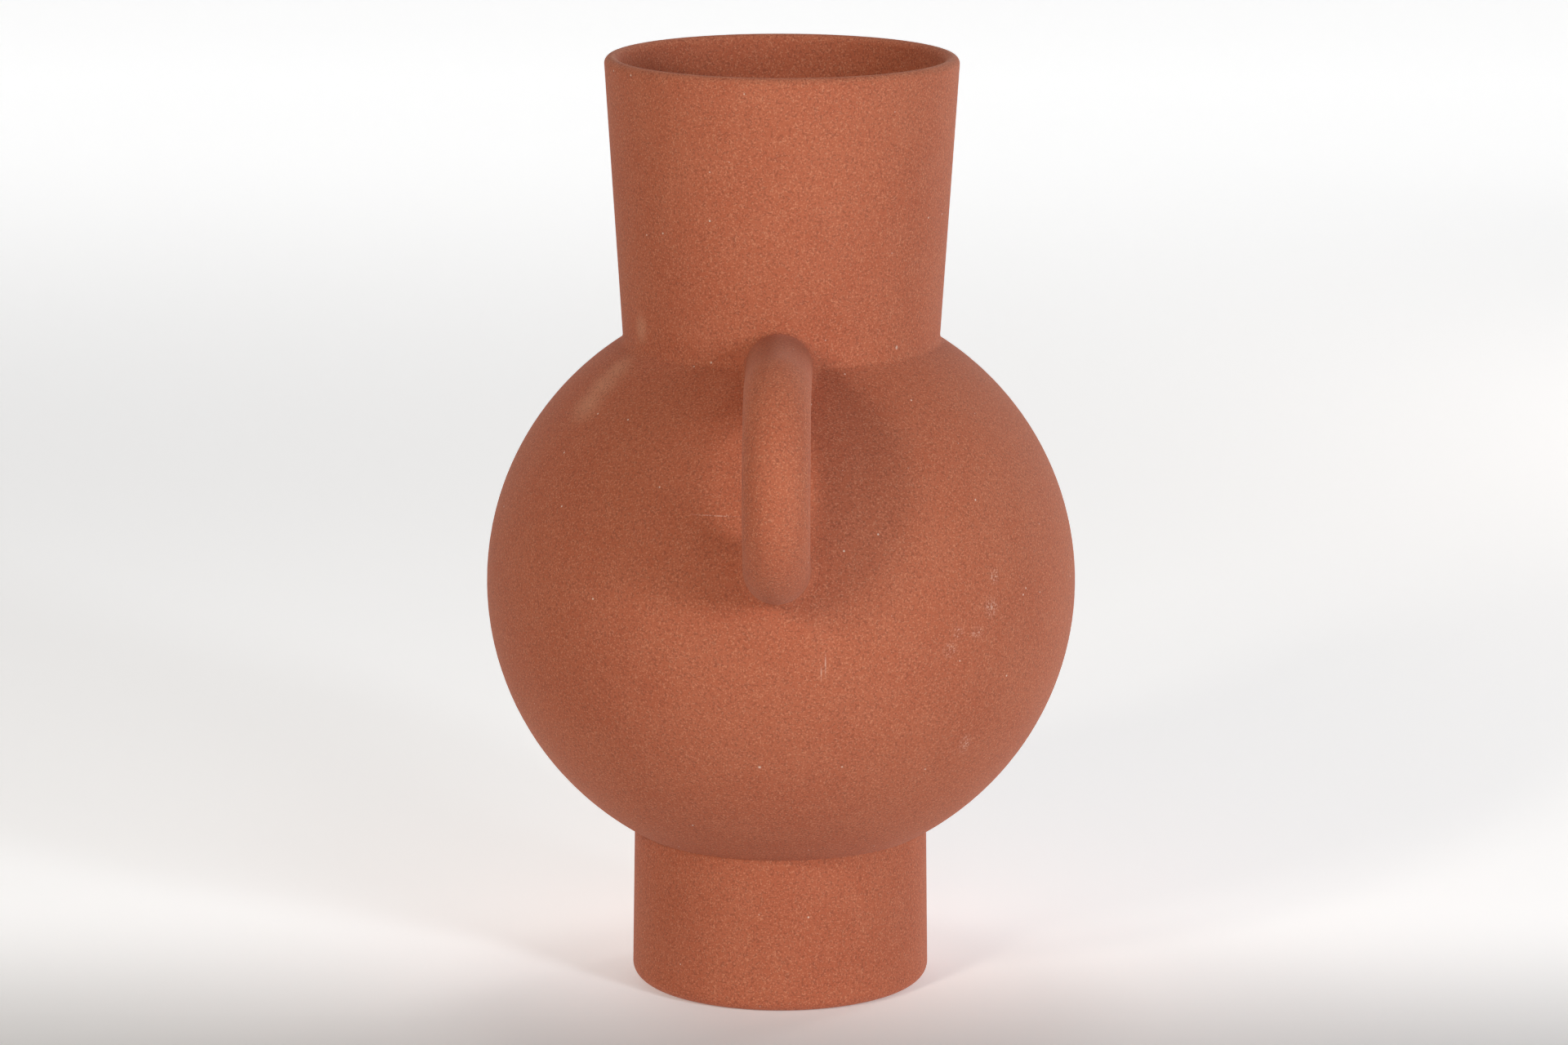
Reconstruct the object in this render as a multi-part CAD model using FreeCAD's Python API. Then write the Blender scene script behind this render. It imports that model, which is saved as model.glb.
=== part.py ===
"""Terracotta amphora: a round belly on a straight foot, under a wide, slightly flared neck, with two round ear handles.

The vessel is built as a potter builds it, from leather-hard sections that are scored, slipped and pressed together:
a foot ring closed by a base disc, two belly halves that lap at the equator, a neck that seats in the belly's mouth,
and two rod handles that stand against the shoulder and the belly. A luting fillet, the thin coil of clay smoothed
into the inside corner, runs round the neck's joint. Every piece is a separate solid, and meets its neighbours face
to face.

Millimetres, +Z up. The origin is the centre of the foot's resting plane. The handles lie in the YZ plane.
"""

import FreeCAD
import Part

import math
import os

from FreeCAD import Vector

# Vessel
TOTAL_HEIGHT = 350.0
WALL = 6.0                      # wall of the belly
BELLY_RADIUS = 110.0            # outside, at the equator
BELLY_HALF_HEIGHT = 108.5       # the belly is a slightly flattened ball
BELLY_CENTRE_Z = 152.5
NECK_WALL = 5.4
NECK_BASE_RADIUS = 58.8         # outside, where the neck meets the shoulder
NECK_RIM_RADIUS = 65.4          # outside, just under the round lip
FOOT_TOP_RADIUS = 55.0          # outside, where the foot meets the belly
FOOT_BASE_RADIUS = 55.8
FOOT_WALL = 9.0                 # the foot carries the weight, so it is the thickest part
FOOT_EDGE_ROUND = 5.0           # outer edge at the resting plane
BASE_RECESS = 2.5               # the base disc's underside stands this far off the resting plane
BASE_THICKNESS = 7.5

# Laps of the joints between the thrown sections
EQUATOR_LAP = 4.0
SEAT_LAP = 2.0

# Handles: a round rod bent to a U that lies on its side
ROD_RADIUS = 12.0
UPPER_ARM_Z = 245.0
LOWER_ARM_Z = 180.5
HANDLE_REACH = 140.0            # from the vessel's axis to the rod's centreline, at the outermost point
ARM_START = 40.0                # the arms start inside the vessel, and are trimmed to its surface

# Luting fillet: how far it runs up the neck and down the shoulder from their corner, and how far the neck's outer
# edge is bevelled to take it
FILLET_LEG = 2.3
FILLET_BEVEL = 2.0

ORIGIN = Vector(0, 0, 0)
AXIS = Vector(0, 0, 1)
SEAM_TURN = 45                  # degrees: keeps the seam of a surface of revolution away from the handles


def belly_z(radius, inset=0.0, side=1):
    """Height of the belly's surface at a radius: side 1 is above the equator, and inset goes into the wall."""
    share = radius / (BELLY_RADIUS - inset)
    return BELLY_CENTRE_Z + side * (BELLY_HALF_HEIGHT - inset) * math.sqrt(1 - share**2)


def belly_radius(z, inset=0.0):
    """Radius of the belly's surface at a height."""
    share = (z - BELLY_CENTRE_Z) / (BELLY_HALF_HEIGHT - inset)
    return (BELLY_RADIUS - inset) * math.sqrt(1 - share**2)


SEAT_Z = belly_z(NECK_BASE_RADIUS)              # where the neck's outside meets the shoulder
FOOT_TOP_Z = belly_z(FOOT_TOP_RADIUS, side=-1)  # where the foot's outside meets the belly
FOOT_INNER_RADIUS = FOOT_TOP_RADIUS - FOOT_WALL
FOOT_STEP_RADIUS = FOOT_TOP_RADIUS - FOOT_WALL / 2  # outside of the foot's spigot
SHOULDER_SLOPE = math.atan(NECK_BASE_RADIUS * BELLY_HALF_HEIGHT**2 / (BELLY_RADIUS**2 * (SEAT_Z - BELLY_CENTRE_Z)))


def at(radius, z):
    """A point of an outline in the XZ half-plane."""
    return Vector(radius, 0, z)


def line(start, end):
    return Part.LineSegment(at(*start), at(*end)).toShape()


def lines(*points):
    return [line(a, b) for a, b in zip(points, points[1:])]


def arc(start, middle, end):
    return Part.Arc(at(*start), at(*middle), at(*end)).toShape()


def belly_arc(z_low, z_high, inset=0.0):
    """The belly's outline between two heights."""
    width, height = BELLY_RADIUS - inset, BELLY_HALF_HEIGHT - inset
    ellipse = Part.Ellipse(at(width, BELLY_CENTRE_Z), at(0, BELLY_CENTRE_Z + height), at(0, BELLY_CENTRE_Z))
    low, high = (math.asin((z - BELLY_CENTRE_Z) / height) for z in (z_low, z_high))
    return Part.ArcOfEllipse(ellipse, low, high).toShape()


def revolve(edges):
    """A solid of revolution from a closed outline."""
    return Part.Face(Part.Wire(Part.__sortEdges__(edges))).revolve(ORIGIN, AXIS, 360)


# The neck's wall is straight. It runs along its middle line, from the seat to the centre of the round lip.
NECK_FOOT_MIDDLE = NECK_BASE_RADIUS - NECK_WALL / 2
LIP_CENTRE = (NECK_RIM_RADIUS - NECK_WALL / 2, TOTAL_HEIGHT - NECK_WALL / 2)
NECK_LEAN = math.atan2(LIP_CENTRE[0] - NECK_FOOT_MIDDLE, LIP_CENTRE[1] - SEAT_Z)


def neck_radius(z, side):
    """Radius of the neck at a height: side 1 is its outside, and -1 its inside."""
    middle = NECK_FOOT_MIDDLE + (z - SEAT_Z) * math.tan(NECK_LEAN)
    return middle + side * NECK_WALL / 2 / math.cos(NECK_LEAN)


def lip_point(angle):
    """A point of the round lip: angle 0 is its outer end, 90 degrees its top and 180 its inner end."""
    turn = math.radians(angle) - NECK_LEAN
    return LIP_CENTRE[0] + NECK_WALL / 2 * math.cos(turn), LIP_CENTRE[1] + NECK_WALL / 2 * math.sin(turn)


MOUTH_RADIUS = neck_radius(SEAT_Z - SEAT_LAP, -1)   # bore of the belly's mouth, flush with the neck's inside

# The fillet's visible face is an arc that meets the neck and the shoulder smoothly
FILLET_NECK_END = (
    NECK_BASE_RADIUS + FILLET_LEG * math.sin(NECK_LEAN),
    SEAT_Z + FILLET_LEG * math.cos(NECK_LEAN),
)
FILLET_SHOULDER_RADIUS = NECK_BASE_RADIUS + FILLET_LEG * math.cos(SHOULDER_SLOPE)
FILLET_SHOULDER_END = (FILLET_SHOULDER_RADIUS, belly_z(FILLET_SHOULDER_RADIUS))


def fillet_arc():
    """The fillet's visible face, from the shoulder to the neck."""
    half_angle = (math.pi / 2 + SHOULDER_SLOPE - NECK_LEAN) / 2
    depth = FILLET_LEG * (1 - math.sin(half_angle)) / math.cos(half_angle)
    direction = math.pi / 2 - NECK_LEAN - half_angle
    middle = (NECK_BASE_RADIUS + depth * math.cos(direction), SEAT_Z + depth * math.sin(direction))
    return arc(FILLET_SHOULDER_END, middle, FILLET_NECK_END)


def neck():
    """Flared tube with a round lip, and a spigot that drops into the belly's mouth."""
    spigot_z = SEAT_Z - SEAT_LAP
    return revolve(
        [arc(lip_point(0), lip_point(90), lip_point(180))]
        + lines(
            lip_point(180),
            (MOUTH_RADIUS, spigot_z),
            (NECK_FOOT_MIDDLE, spigot_z),
            (NECK_FOOT_MIDDLE, SEAT_Z),
            (NECK_BASE_RADIUS - FILLET_BEVEL, SEAT_Z),
            FILLET_NECK_END,
            lip_point(0),
        )
    )


def belly_upper():
    """Upper half of the belly: a rebated mouth for the neck, and a rebate over the lower half's tongue."""
    lap_z = BELLY_CENTRE_Z + EQUATOR_LAP
    lap_radius = BELLY_RADIUS - WALL / 2
    inner_z = belly_z(MOUTH_RADIUS, WALL)
    return revolve(
        [belly_arc(BELLY_CENTRE_Z, SEAT_Z), belly_arc(lap_z, inner_z, WALL)]
        + lines(
            (belly_radius(SEAT_Z), SEAT_Z),
            (NECK_FOOT_MIDDLE, SEAT_Z),
            (NECK_FOOT_MIDDLE, SEAT_Z - SEAT_LAP),
            (MOUTH_RADIUS, SEAT_Z - SEAT_LAP),
            (MOUTH_RADIUS, inner_z),
        )
        + lines(
            (belly_radius(lap_z, WALL), lap_z),
            (lap_radius, lap_z),
            (lap_radius, BELLY_CENTRE_Z),
            (BELLY_RADIUS, BELLY_CENTRE_Z),
        )
    )


def belly_lower():
    """Lower half of the belly: a tongue at the equator, and a rebated opening for the foot's spigot."""
    lap_z = BELLY_CENTRE_Z + EQUATOR_LAP
    lap_radius = BELLY_RADIUS - WALL / 2
    inner_z = belly_z(FOOT_INNER_RADIUS, WALL, side=-1)
    return revolve(
        [belly_arc(FOOT_TOP_Z, BELLY_CENTRE_Z), belly_arc(inner_z, lap_z, WALL)]
        + lines(
            (BELLY_RADIUS, BELLY_CENTRE_Z),
            (lap_radius, BELLY_CENTRE_Z),
            (lap_radius, lap_z),
            (belly_radius(lap_z, WALL), lap_z),
        )
        + lines(
            (FOOT_INNER_RADIUS, inner_z),
            (FOOT_INNER_RADIUS, FOOT_TOP_Z + SEAT_LAP),
            (FOOT_STEP_RADIUS, FOOT_TOP_Z + SEAT_LAP),
            (FOOT_STEP_RADIUS, FOOT_TOP_Z),
            (FOOT_TOP_RADIUS, FOOT_TOP_Z),
        )
    )


def foot_ring():
    """Straight foot that the vessel rests on, with a rounded outer edge below and a spigot on top."""
    edge = FOOT_EDGE_ROUND
    slant = edge * (1 - math.sqrt(0.5))
    return revolve(
        [
            arc(
                (FOOT_BASE_RADIUS - edge, 0),
                (FOOT_BASE_RADIUS - slant, slant),
                (FOOT_BASE_RADIUS, edge),
            )
        ]
        + lines(
            (FOOT_BASE_RADIUS, edge),
            (FOOT_TOP_RADIUS, FOOT_TOP_Z),
            (FOOT_STEP_RADIUS, FOOT_TOP_Z),
            (FOOT_STEP_RADIUS, FOOT_TOP_Z + SEAT_LAP),
            (FOOT_INNER_RADIUS, FOOT_TOP_Z + SEAT_LAP),
            (FOOT_INNER_RADIUS, 0),
            (FOOT_BASE_RADIUS - edge, 0),
        )
    )


def base_disc():
    """Floor of the vessel: a slab pressed into the foot, with its underside clear of the table."""
    return Part.makeCylinder(FOOT_INNER_RADIUS, BASE_THICKNESS, at(0, BASE_RECESS), AXIS)


def neck_fillet():
    """Clay coil that fills the neck's bevel, smoothed into the corner between the shoulder and the neck."""
    corner = (NECK_BASE_RADIUS, SEAT_Z)
    bevel = (NECK_BASE_RADIUS - FILLET_BEVEL, SEAT_Z)
    return revolve(
        [fillet_arc(), belly_arc(FILLET_SHOULDER_END[1], SEAT_Z)] + lines(corner, bevel, FILLET_NECK_END)
    )


def vessel():
    """The whole outside of the vessel as one filled solid, without the handles."""
    return revolve(
        [belly_arc(FOOT_TOP_Z, FILLET_SHOULDER_END[1]), fillet_arc()]
        + lines(
            FILLET_NECK_END,
            lip_point(0),
            (LIP_CENTRE[0], TOTAL_HEIGHT),
            (0, TOTAL_HEIGHT),
            (0, 0),
            (FOOT_BASE_RADIUS, 0),
            (FOOT_TOP_RADIUS, FOOT_TOP_Z),
        )
    )


def rod():
    """The front handle's whole rod: two arms that start inside the vessel, and the bend between them."""
    bend_radius = (UPPER_ARM_Z - LOWER_ARM_Z) / 2
    bend_y = -(HANDLE_REACH - bend_radius)
    outward = Vector(0, -1, 0)
    arms = [
        Part.makeCylinder(ROD_RADIUS, -bend_y - ARM_START, Vector(0, -ARM_START, z), outward)
        for z in (UPPER_ARM_Z, LOWER_ARM_Z)
    ]
    section = Part.Face(Part.Wire(Part.makeCircle(ROD_RADIUS, Vector(0, bend_y, UPPER_ARM_Z), outward)))
    bend = section.revolve(Vector(0, bend_y, UPPER_ARM_Z - bend_radius), Vector(1, 0, 0), 180)
    return arms[0].fuse([bend, arms[1]])


def front_handle():
    """The front handle: the rod, cut off where it meets the vessel."""
    outside = vessel()
    outside.rotate(ORIGIN, AXIS, SEAM_TURN)
    return max(rod().cut(outside).Solids, key=lambda solid: solid.Volume)


def mirrored(shape):
    """The same shape on the other side of the vessel."""
    copy = shape.copy()
    copy.rotate(ORIGIN, AXIS, 180)
    return copy


def pieces():
    """Every solid of the vessel, by name."""
    handle = front_handle()
    return {
        "neck": neck(),
        "belly_upper": belly_upper(),
        "belly_lower": belly_lower(),
        "foot_ring": foot_ring(),
        "base_disc": base_disc(),
        "neck_fillet": neck_fillet(),
        "front_handle": handle,
        "rear_handle": mirrored(handle),
    }


os.makedirs("parts", exist_ok=True)
for name, shape in pieces().items():
    shape.exportStep(f"parts/{name}.step")
    box = shape.BoundBox
    print(f"{name:22s} solids {len(shape.Solids)}  valid {shape.isValid()}  volume {shape.Volume:10.1f}", end="")
    print(f"  z {box.ZMin:7.2f} {box.ZMax:7.2f}  y {box.YMin:8.2f} {box.YMax:8.2f}")
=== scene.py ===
"""Looks for the terracotta amphora: unglazed sandy clay, a pale studio floor, soft lights and the camera.

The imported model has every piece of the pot. Its thrown sections and the coil stay as they are, and get the
clay's material here. The two handles are made again with the soft clay smoothed round their ends.
Metres, +Z up, in the frame of the model. The camera looks along +Y, at the front handle.
"""
import math

import bpy
from mathutils import Matrix, Vector


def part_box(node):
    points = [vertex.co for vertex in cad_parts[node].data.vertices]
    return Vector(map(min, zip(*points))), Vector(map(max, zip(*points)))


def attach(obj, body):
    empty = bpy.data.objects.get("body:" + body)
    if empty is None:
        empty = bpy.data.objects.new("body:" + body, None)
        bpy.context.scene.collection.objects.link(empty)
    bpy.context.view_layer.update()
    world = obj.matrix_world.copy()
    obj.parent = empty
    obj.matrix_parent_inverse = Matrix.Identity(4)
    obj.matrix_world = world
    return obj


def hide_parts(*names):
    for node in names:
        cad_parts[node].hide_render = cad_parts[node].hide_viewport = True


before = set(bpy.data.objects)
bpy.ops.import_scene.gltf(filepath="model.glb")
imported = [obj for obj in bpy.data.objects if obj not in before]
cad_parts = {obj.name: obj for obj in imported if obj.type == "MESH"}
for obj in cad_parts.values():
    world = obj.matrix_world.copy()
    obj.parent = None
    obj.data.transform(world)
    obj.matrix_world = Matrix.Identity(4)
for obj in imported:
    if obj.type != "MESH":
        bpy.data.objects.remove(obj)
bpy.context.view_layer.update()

MM = 0.001

# The vessel's outside, as the model has it
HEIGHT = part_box("neck")[1].z
RIM_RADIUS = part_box("neck")[1].x
BELLY_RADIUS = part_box("belly_upper")[1].x
BELLY_CENTRE_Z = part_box("belly_upper")[0].z
SEAT_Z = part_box("belly_upper")[1].z
BELLY_HALF_HEIGHT = 108.5 * MM
NECK_BASE_RADIUS = 58.8 * MM
NECK_FLARE = (RIM_RADIUS - NECK_BASE_RADIUS) / (HEIGHT - SEAT_Z)

# The handles: a round rod bent to a U, seen in the front handle's box
HANDLE_LOW, HANDLE_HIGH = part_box("front_handle")
ROD_RADIUS = HANDLE_HIGH.x
UPPER_ARM_Z = HANDLE_HIGH.z - ROD_RADIUS
LOWER_ARM_Z = HANDLE_LOW.z + ROD_RADIUS
HANDLE_REACH = -HANDLE_LOW.y - ROD_RADIUS
BEND_RADIUS = (UPPER_ARM_Z - LOWER_ARM_Z) / 2
BEND_Z = (UPPER_ARM_Z + LOWER_ARM_Z) / 2
BEND_START = HANDLE_REACH - BEND_RADIUS     # from the vessel's axis to where the upper arm ends
BEND_MIDDLE = BEND_START + math.pi / 2 * BEND_RADIUS
ROD_LENGTH = 2 * BEND_MIDDLE                # along the centreline, from the axis out and back to it
UPPER_ARM_INSIDE = 50 * MM      # from the axis to a point of the upper arm that is inside the wall
LOWER_ARM_INSIDE = 90 * MM      # the same for the lower arm
NECK_JOIN = 2.2 * MM            # width of the soft join of neck and belly, which stands for the coil there
SOFT_CLAY = 3.0 * MM            # radius of the clay smoothed round a handle's end
SOFT_STEPS = 10
ROOT_DEPTH = 1.5 * MM           # how far a handle's end goes into the wall
ROD_SEGMENTS = 96
BEND_STEPS = 56
SEARCH_STEPS = 40               # halvings in the search for the wall

# Camera, as shares of the pot's height
CAMERA_DISTANCE = 6.151
CAMERA_RISE = 1.809
CAMERA_ASIDE = 0.0031
CAMERA_PITCH = 12.03            # degrees down
CAMERA_ROLL = 0.12              # degrees
CAMERA_AROUND = 0.7             # degrees round the pot, off the handles' plane
CAMERA_LENS = 135.2             # mm
CAMERA_SENSOR = 36              # mm

# Disc lights, all aimed at the belly: azimuth and elevation in degrees, watts, the disc's diameter and tint.
# Azimuth 0 is the camera's side, and positive is to its right. The narrow ones draw the handle's shadow.
LIGHT_RANGE = 1.6
LIGHT_TARGET = Vector((0, 0, 0.19))
WIDE = 0.45
NARROW = 0.20
WARM = (1.0, 0.93, 0.82)
COOL = (0.89, 0.95, 1.0)
SOFT_WARM = (1.0, 0.93, 0.89)
LIGHTS = {
    "key_left": (-34, 28, 4.3, NARROW, WARM),
    "key_left_low": (-30, 18, 3.2, NARROW, WARM),
    "fill_left": (-30, 24, 1.3, WIDE, WARM),
    "key_right": (40, 18, 5.5, NARROW, COOL),
    "key_right_low": (44, 9, 4.4, NARROW, COOL),
    "front_low": (37, 10, 1.4, NARROW, COOL),
    "front_high": (25, 38, 1.8, WIDE, COOL),
    "low_back_right": (135, 9, 4.6, WIDE, SOFT_WARM),
    "high_left": (-120, 55, 1.2, WIDE, SOFT_WARM),
    "top": (180, 75, 2.1, WIDE, SOFT_WARM),
}

AMBIENT = 0.02                  # strength of the even light from all around

# The studio floor curves up into a backdrop behind the pot
FLOOR_HALF_WIDTH = 6.0
FLOOR_FRONT = -3.5
BACKDROP_Y = 4.0
BACKDROP_HEIGHT = 4.0
BACKDROP_BEND = 1.5
BACKDROP_STEPS = 24
FLOOR_WHITE = (0.86, 0.86, 0.86, 1)

# The floor glows a little behind the pot, as a lit backdrop does: where a glow starts along Y, where it
# reaches its full strength, and that strength
NEAR_GLOW = (-0.15, 0.10, 0.45)
FAR_GLOW = (0.80, 2.20, 0.25)

# Clay colours, linear
CLAY = (0.520, 0.142, 0.070, 1)
CLAY_RED = (0.480, 0.116, 0.056, 1)
CLAY_PALE = (0.580, 0.190, 0.105, 1)
DARK_GRAIN = (0.200, 0.052, 0.030, 1)
PALE_GRAIN = (0.780, 0.340, 0.190, 1)
# Pale peach, for the painted reflections on the left shoulder and neck, and for the dust on the lip and foot
PAINTED_REFLECTION_AND_DUST = (0.640, 0.260, 0.150, 1)
CHALK = (0.860, 0.700, 0.580, 1)
SHEEN_TINT = (1.0, 0.80, 0.66, 1)

# Sizes in the clay
BLOTCH_SIZE = 52 * MM
PATCH_SIZE = 12 * MM
COARSE_SAND = 0.80 * MM
FINE_SAND = 0.62 * MM
LIME_SPACING = 6 * MM
SAND_RELIEF = 0.35 * MM
FINE_SHARE = 0.6                # how much the fine sand stands out, against the coarse
LIP_DUST = (2.4 * MM, 0.4 * MM)     # below the lip's top, where the dust starts and where it is full
FOOT_DUST = (2.0 * MM, 0.4 * MM)    # the same above the floor

# Marks on the pot's front, in millimetres: X and Z of the middle, and the mark's reach along X and Z
RUBBED = [
    (62, 147, 4, 4), (65, 153, 3, 3), (72, 152, 4, 3), (77, 160, 4, 5), (78, 171, 3, 4), (68, 108, 3, 6),
]
SCRATCHES = [(17.3, 145.5, 0.4, 6), (15.8, 142.5, 0.35, 4), (-22, 197.5, 12, 0.3)]
# Painted reflections: pale patches on the left shoulder and the neck's lower left, where light bounced from
# the neck is painted into the clay
PAINTED_SHOULDER_REFLECTIONS = [(-60, 238, 10, 11), (-65, 233, 12, 13), (-70, 227, 11, 13)]
PAINTED_NECK_REFLECTION = (-51, 253, 4, 8)
NECK_SPECK = (42.5, 248.5, 0.7, 1.1)
BELLY_SPECK = (-6.3, 105.3, 0.8, 0.8)


class Graph:
    """Adds shader nodes to a material. An input takes a value, or the socket it is linked from."""

    def __init__(self, material):
        self.tree = material.node_tree

    def add(self, kind, inputs=(), **settings):
        node = self.tree.nodes.new(kind)
        for name, value in settings.items():
            setattr(node, name, value)
        for name, value in dict(inputs).items():
            self.feed(node.inputs[name], value)
        return node

    def feed(self, socket, value):
        if isinstance(value, bpy.types.NodeSocket):
            self.tree.links.new(value, socket)
        else:
            socket.default_value = value

    def noise(self, place, size, detail=2.0, roughness=0.5):
        """Noise, 0 to 1, whose features are about this size in metres."""
        inputs = {"Vector": place, "Scale": 1 / size, "Detail": detail, "Roughness": roughness}
        return self.add("ShaderNodeTexNoise", inputs).outputs["Fac"]

    def grains(self, place, size):
        """Scattered points, one a cell of this size: the distance to the nearest, and its random number."""
        node = self.add("ShaderNodeTexVoronoi", {"Vector": place, "Scale": 1 / size})
        chance = self.add("ShaderNodeSeparateColor", {"Color": node.outputs["Color"]}).outputs["Red"]
        return node.outputs["Distance"], chance

    def ramp(self, value, start, end, low=0.0, high=1.0):
        """A smooth step: low up to start, high from end on."""
        inputs = {"Value": value, "From Min": start, "From Max": end, "To Min": low, "To Max": high}
        return self.add("ShaderNodeMapRange", inputs, interpolation_type="SMOOTHSTEP").outputs["Result"]

    def math(self, operation, first, second=0.0):
        return self.add("ShaderNodeMath", {0: first, 1: second}, operation=operation).outputs["Value"]

    def vector(self, operation, first, second=(0, 0, 0)):
        return self.add("ShaderNodeVectorMath", {0: first, 1: second}, operation=operation)

    def product(self, first, second):
        return self.math("MULTIPLY", first, second)

    def mix(self, share, first, second):
        """A blend of two colours."""
        node = self.add("ShaderNodeMix", data_type="RGBA")
        sockets = {socket.name: socket for socket in node.inputs if socket.enabled}
        self.feed(sockets["Factor"], share)
        self.feed(sockets["A"], first)
        self.feed(sockets["B"], second)
        return next(socket for socket in node.outputs if socket.enabled)

    def stain(self, colour, other, mask, strength):
        """The colour, with up to this share of another one where the mask is."""
        return self.mix(self.product(mask, strength), colour, other)

    def spot(self, place, centre, reach):
        """1 at a point, and 0 from the reach along each axis on."""
        offset = self.vector("SUBTRACT", place, centre).outputs["Vector"]
        share = self.vector("DIVIDE", offset, reach).outputs["Vector"]
        length = self.vector("LENGTH", share).outputs["Value"]
        return self.ramp(length, start=1.0, end=0.0)


def neck_radius(z):
    """Outer radius of the neck's cone at a height."""
    return NECK_BASE_RADIUS + NECK_FLARE * (z - SEAT_Z)


def wall_radius(z):
    """Outer radius of the belly or the neck at a height."""
    if z < SEAT_Z:
        return BELLY_RADIUS * math.sqrt(1 - ((z - BELLY_CENTRE_Z) / BELLY_HALF_HEIGHT) ** 2)
    return neck_radius(z)


def marks(graph, place, patches):
    """Where the pot has any of these patches: 1 in the middle of one, and 0 outside them all."""
    whole = 0.0
    for x, z, reach_x, reach_z in patches:
        x, z, reach_x, reach_z = (value * MM for value in (x, z, reach_x, reach_z))
        centre = Vector((x, -math.sqrt(wall_radius(z) ** 2 - x**2), z))
        reach = Vector((reach_x, max(reach_x, reach_z), reach_z))
        whole = graph.math("MAXIMUM", graph.spot(place, centre, reach), whole)
    return whole


def clay_body(graph, place):
    """Fired clay, with soft blotches of redder and paler body."""
    blotches = graph.ramp(graph.noise(place, BLOTCH_SIZE, detail=3), start=0.38, end=0.66)
    patches = graph.ramp(graph.noise(place, PATCH_SIZE, detail=3), start=0.40, end=0.70)
    colour = graph.stain(CLAY, CLAY_RED, blotches, strength=0.45)
    return graph.stain(colour, CLAY_PALE, patches, strength=0.18)


def dust(graph, place, coarse):
    """Where dust lies: on the lip and on the foot's lower edge."""
    height = graph.add("ShaderNodeSeparateXYZ", {"Vector": place}).outputs["Z"]
    lip = graph.ramp(height, start=HEIGHT - LIP_DUST[0], end=HEIGHT - LIP_DUST[1])
    foot = graph.ramp(height, start=FOOT_DUST[0], end=FOOT_DUST[1])
    return graph.product(graph.math("MAXIMUM", lip, foot), graph.ramp(coarse, start=0.30, end=0.70))


def wear(graph, place, colour, coarse):
    """Painted reflections of light bounced from the neck onto the left shoulder and the neck, chalky rubs,
    scratches and specks, and dust.
    """
    rubbed = graph.product(marks(graph, place, RUBBED), graph.ramp(coarse, start=0.50, end=0.66))
    scratched = graph.product(marks(graph, place, SCRATCHES), graph.ramp(coarse, start=0.30, end=0.60))
    # Painted reflection: light bounced from the neck, painted as pale patches on the left shoulder and the
    # neck
    colour = graph.stain(colour, PAINTED_REFLECTION_AND_DUST, marks(graph, place, PAINTED_SHOULDER_REFLECTIONS + [PAINTED_NECK_REFLECTION]), strength=0.90)
    colour = graph.stain(colour, CHALK, rubbed, strength=0.55)
    colour = graph.stain(colour, CHALK, scratched, strength=0.50)
    colour = graph.mix(marks(graph, place, [NECK_SPECK, BELLY_SPECK]), colour, CHALK)
    return graph.stain(colour, PAINTED_REFLECTION_AND_DUST, dust(graph, place, coarse), strength=0.30)


def sand(graph, place, colour, coarse, fine):
    """Dark and pale grains of sand in the clay, and a few white specks of lime."""
    colour = graph.stain(colour, DARK_GRAIN, graph.ramp(coarse, start=0.50, end=0.34), strength=0.44)
    colour = graph.stain(colour, PALE_GRAIN, graph.ramp(fine, start=0.52, end=0.70), strength=0.48)
    distance, chance = graph.grains(place, LIME_SPACING)
    middle = graph.ramp(distance, start=0.075, end=0.045)
    chosen = graph.ramp(chance, start=0.76, end=0.80)
    return graph.stain(colour, CHALK, graph.product(middle, chosen), strength=0.8)


def terracotta():
    """The one clay of the whole pot."""
    material = bpy.data.materials.new("terracotta_clay")
    material.use_nodes = True
    graph = Graph(material)
    shader = material.node_tree.nodes["Principled BSDF"]
    place = graph.add("ShaderNodeTexCoord").outputs["Object"]
    coarse = graph.noise(place, COARSE_SAND, detail=1.0)
    fine = graph.noise(place, FINE_SAND, detail=1.0)
    colour = wear(graph, place, clay_body(graph, place), coarse)
    colour = sand(graph, place, colour, coarse, fine)

    relief = graph.math("ADD", coarse, graph.product(fine, FINE_SHARE))
    bump = graph.add("ShaderNodeBump", {"Strength": 0.35, "Distance": SAND_RELIEF, "Height": relief})
    graph.feed(shader.inputs["Base Color"], colour)
    graph.feed(shader.inputs["Roughness"], graph.ramp(coarse, start=0.3, end=0.7, low=0.86, high=0.97))
    graph.feed(shader.inputs["Normal"], bump.outputs["Normal"])
    shader.inputs["Specular IOR Level"].default_value = 0.3
    shader.inputs["Sheen Weight"].default_value = 0.09
    shader.inputs["Sheen Roughness"].default_value = 0.45
    shader.inputs["Sheen Tint"].default_value = SHEEN_TINT
    return material


def dress_nodes(clay):
    """Gives every node of the model the clay."""
    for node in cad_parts.values():
        node.data.materials.clear()
        node.data.materials.append(clay)


def wall_distance(point):
    """How far a point is outside the belly and the neck, which join softly."""
    radius = math.hypot(point.x, point.y)
    share = math.hypot(radius / BELLY_RADIUS, (point.z - BELLY_CENTRE_Z) / BELLY_HALF_HEIGHT)
    belly = (share - 1) * (BELLY_RADIUS + BELLY_HALF_HEIGHT) / 2
    neck = (radius - neck_radius(point.z)) * math.cos(math.atan(NECK_FLARE))
    if point.z < SEAT_Z - NECK_JOIN:
        return belly
    overlap = max(NECK_JOIN - abs(belly - neck), 0.0)
    return min(belly, neck) - overlap**2 / (4 * NECK_JOIN)


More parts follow.
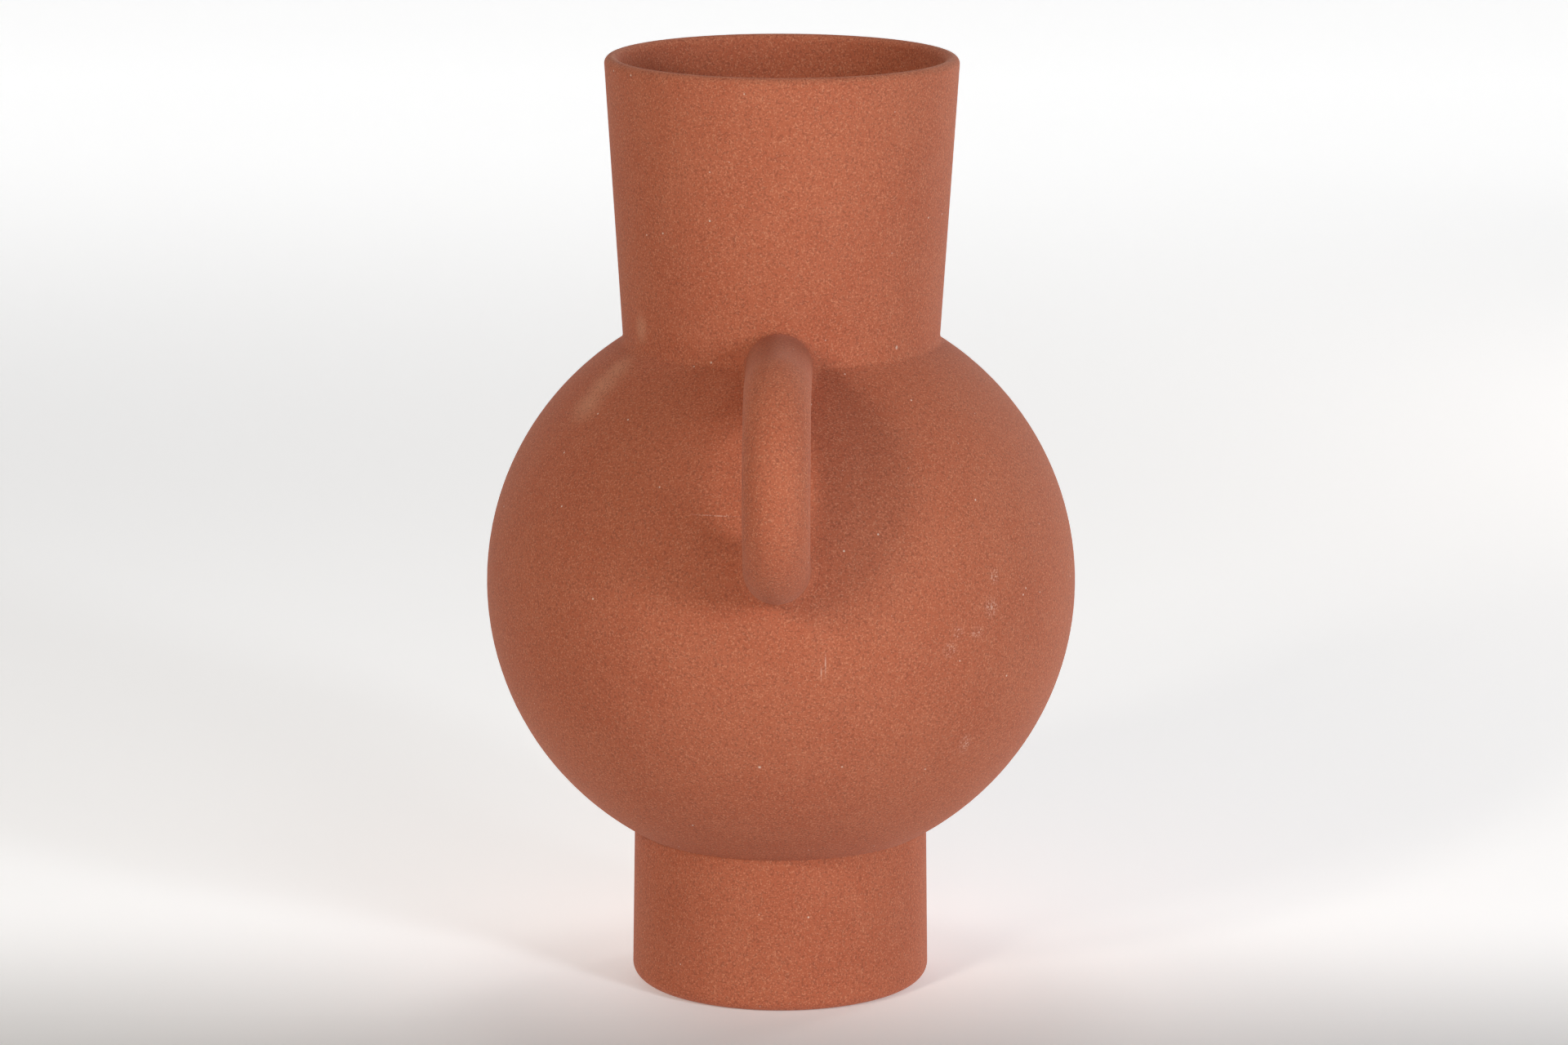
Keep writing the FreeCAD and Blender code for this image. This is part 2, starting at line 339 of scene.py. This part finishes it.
def rod_point(travel, angle, radius):
    """A point of the front handle: travel along its centreline, angle round it, and distance from it."""
    turn = min(max((travel - BEND_START) / BEND_RADIUS, 0.0), math.pi)
    past_bend = max(travel - BEND_START - math.pi * BEND_RADIUS, 0.0)
    along = min(travel, BEND_START) - past_bend
    outward = BEND_RADIUS + radius * math.sin(angle)
    return Vector((
        radius * math.cos(angle),
        -(along + outward * math.sin(turn)),
        BEND_Z + outward * math.cos(turn),
    ))


def travel_to_wall(angle, distance, radius, inside, outside):
    """Where a line along the rod is this far from the wall, between a point inside it and one outside."""
    for _ in range(SEARCH_STEPS):
        middle = (inside + outside) / 2
        if wall_distance(rod_point(middle, angle, radius)) < distance:
            inside = middle
        else:
            outside = middle
    return outside


def soft_end(angle, inside, outside):
    """One line of the soft clay at a rod's end, from inside the wall out to the plain rod."""
    profile = [(-ROOT_DEPTH, ROD_RADIUS + SOFT_CLAY)]
    for step in range(SOFT_STEPS + 1):
        turn = math.pi / 2 * step / SOFT_STEPS
        distance = SOFT_CLAY * (1 - math.cos(turn))
        profile.append((distance, ROD_RADIUS + SOFT_CLAY * (1 - math.sin(turn))))
    return [
        (travel_to_wall(angle, distance, radius, inside, outside), radius)
        for distance, radius in profile
    ]


def handle_points():
    """The front handle's surface, as one list of points for each line along the rod."""
    columns = []
    for segment in range(ROD_SEGMENTS):
        angle = 2 * math.pi * segment / ROD_SEGMENTS
        upper = soft_end(angle, UPPER_ARM_INSIDE, BEND_MIDDLE)
        lower = soft_end(angle, ROD_LENGTH - LOWER_ARM_INSIDE, BEND_MIDDLE)
        first, last = upper[-1][0], lower[-1][0]
        between = [
            (first + (last - first) * step / BEND_STEPS, ROD_RADIUS)
            for step in range(1, BEND_STEPS)
        ]
        column = upper + between + lower[::-1]
        columns.append([rod_point(travel, angle, radius) for travel, radius in column])
    return columns


def add_handle(name, node, turn, clay):
    """One handle, turned about the vessel's axis from the front, in place of the model's."""
    columns = handle_points()
    rows = len(columns[0])
    spin = Matrix.Rotation(turn, 4, "Z")
    points = [spin @ column[row] for row in range(rows) for column in columns]
    count = len(columns)
    faces = [
        (low + i, low + (i + 1) % count, low + count + (i + 1) % count, low + count + i)
        for low in range(0, (rows - 1) * count, count)
        for i in range(count)
    ]
    faces.append(tuple(reversed(range(count))))
    faces.append(tuple(range((rows - 1) * count, rows * count)))
    mesh = bpy.data.meshes.new(name)
    mesh.from_pydata(points, [], faces)
    mesh.validate()
    mesh.shade_smooth()
    mesh.materials.append(clay)
    piece = bpy.data.objects.new(name, mesh)
    bpy.context.scene.collection.objects.link(piece)
    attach(piece, "root")
    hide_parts(node)


def studio_white():
    """The floor's matte white, with its glow."""
    material = bpy.data.materials.new("studio_white")
    material.use_nodes = True
    graph = Graph(material)
    place = graph.add("ShaderNodeTexCoord").outputs["Object"]
    depth = graph.add("ShaderNodeSeparateXYZ", {"Vector": place}).outputs["Y"]
    near, far = (graph.ramp(depth, start, end, 0, glow) for start, end, glow in (NEAR_GLOW, FAR_GLOW))
    shader = material.node_tree.nodes["Principled BSDF"]
    shader.inputs["Base Color"].default_value = FLOOR_WHITE
    shader.inputs["Roughness"].default_value = 0.9
    shader.inputs["Specular IOR Level"].default_value = 0.1
    shader.inputs["Emission Color"].default_value = (1, 1, 1, 1)
    graph.feed(shader.inputs["Emission Strength"], graph.math("ADD", near, far))
    return material


def add_floor():
    """A pale sweep: a wide floor that curves up into a backdrop far behind the pot."""
    profile = [(FLOOR_FRONT, 0.0)]
    for step in range(BACKDROP_STEPS + 1):
        turn = math.pi / 2 * step / BACKDROP_STEPS
        y = BACKDROP_Y - BACKDROP_BEND + BACKDROP_BEND * math.sin(turn)
        profile.append((y, BACKDROP_BEND - BACKDROP_BEND * math.cos(turn)))
    profile.append((BACKDROP_Y, BACKDROP_HEIGHT))
    points = [(x, y, z) for y, z in profile for x in (-FLOOR_HALF_WIDTH, FLOOR_HALF_WIDTH)]
    faces = [(i, i + 1, i + 3, i + 2) for i in range(0, len(points) - 2, 2)]
    mesh = bpy.data.meshes.new("studio_floor")
    mesh.from_pydata(points, [], faces)
    mesh.shade_smooth()
    mesh.materials.append(studio_white())
    floor = bpy.data.objects.new("studio_floor", mesh)
    bpy.context.scene.collection.objects.link(floor)


def add_lights():
    """The soft lights around the pot."""
    for name, (azimuth, elevation, power, size, tint) in LIGHTS.items():
        turn = math.radians(azimuth)
        lift = math.radians(elevation)
        level = Vector((math.sin(turn), -math.cos(turn), 0))
        outward = level * math.cos(lift) + Vector((0, 0, math.sin(lift)))
        light = bpy.data.lights.new(name, "AREA")
        light.shape = "DISK"
        light.size = size
        light.energy = power
        light.color = tint
        lamp = bpy.data.objects.new(name, light)
        lamp.location = LIGHT_TARGET + outward * LIGHT_RANGE
        lamp.rotation_euler = (-outward).to_track_quat("-Z", "Y").to_euler()
        bpy.context.scene.collection.objects.link(lamp)


def add_world():
    """A little even light from all around."""
    world = bpy.data.worlds.new("studio")
    world.use_nodes = True
    background = world.node_tree.nodes["Background"]
    background.inputs["Color"].default_value = (1, 1, 1, 1)
    background.inputs["Strength"].default_value = AMBIENT
    bpy.context.scene.world = world
    bpy.context.scene.view_settings.view_transform = "Standard"


def add_camera():
    """The camera, in front of the pot and a little above it."""
    camera = bpy.data.cameras.new("camera")
    camera.lens = CAMERA_LENS
    camera.sensor_width = CAMERA_SENSOR
    camera.clip_start = 0.05
    camera.clip_end = 30
    holder = bpy.data.objects.new("camera", camera)
    bpy.context.scene.collection.objects.link(holder)
    around = Matrix.Rotation(math.radians(CAMERA_AROUND), 4, "Z")
    place = Vector((CAMERA_ASIDE, -CAMERA_DISTANCE, CAMERA_RISE)) * HEIGHT
    tilt = Matrix.Rotation(math.radians(90 - CAMERA_PITCH), 4, "X")
    roll = Matrix.Rotation(math.radians(CAMERA_ROLL), 4, "Z")
    holder.matrix_world = around @ Matrix.Translation(place) @ tilt @ roll
    bpy.context.scene.camera = holder


clay = terracotta()
dress_nodes(clay)
add_handle("front_handle_clay", "front_handle", 0.0, clay)
add_handle("rear_handle_clay", "rear_handle", math.pi, clay)
add_floor()
add_lights()
add_world()
add_camera()
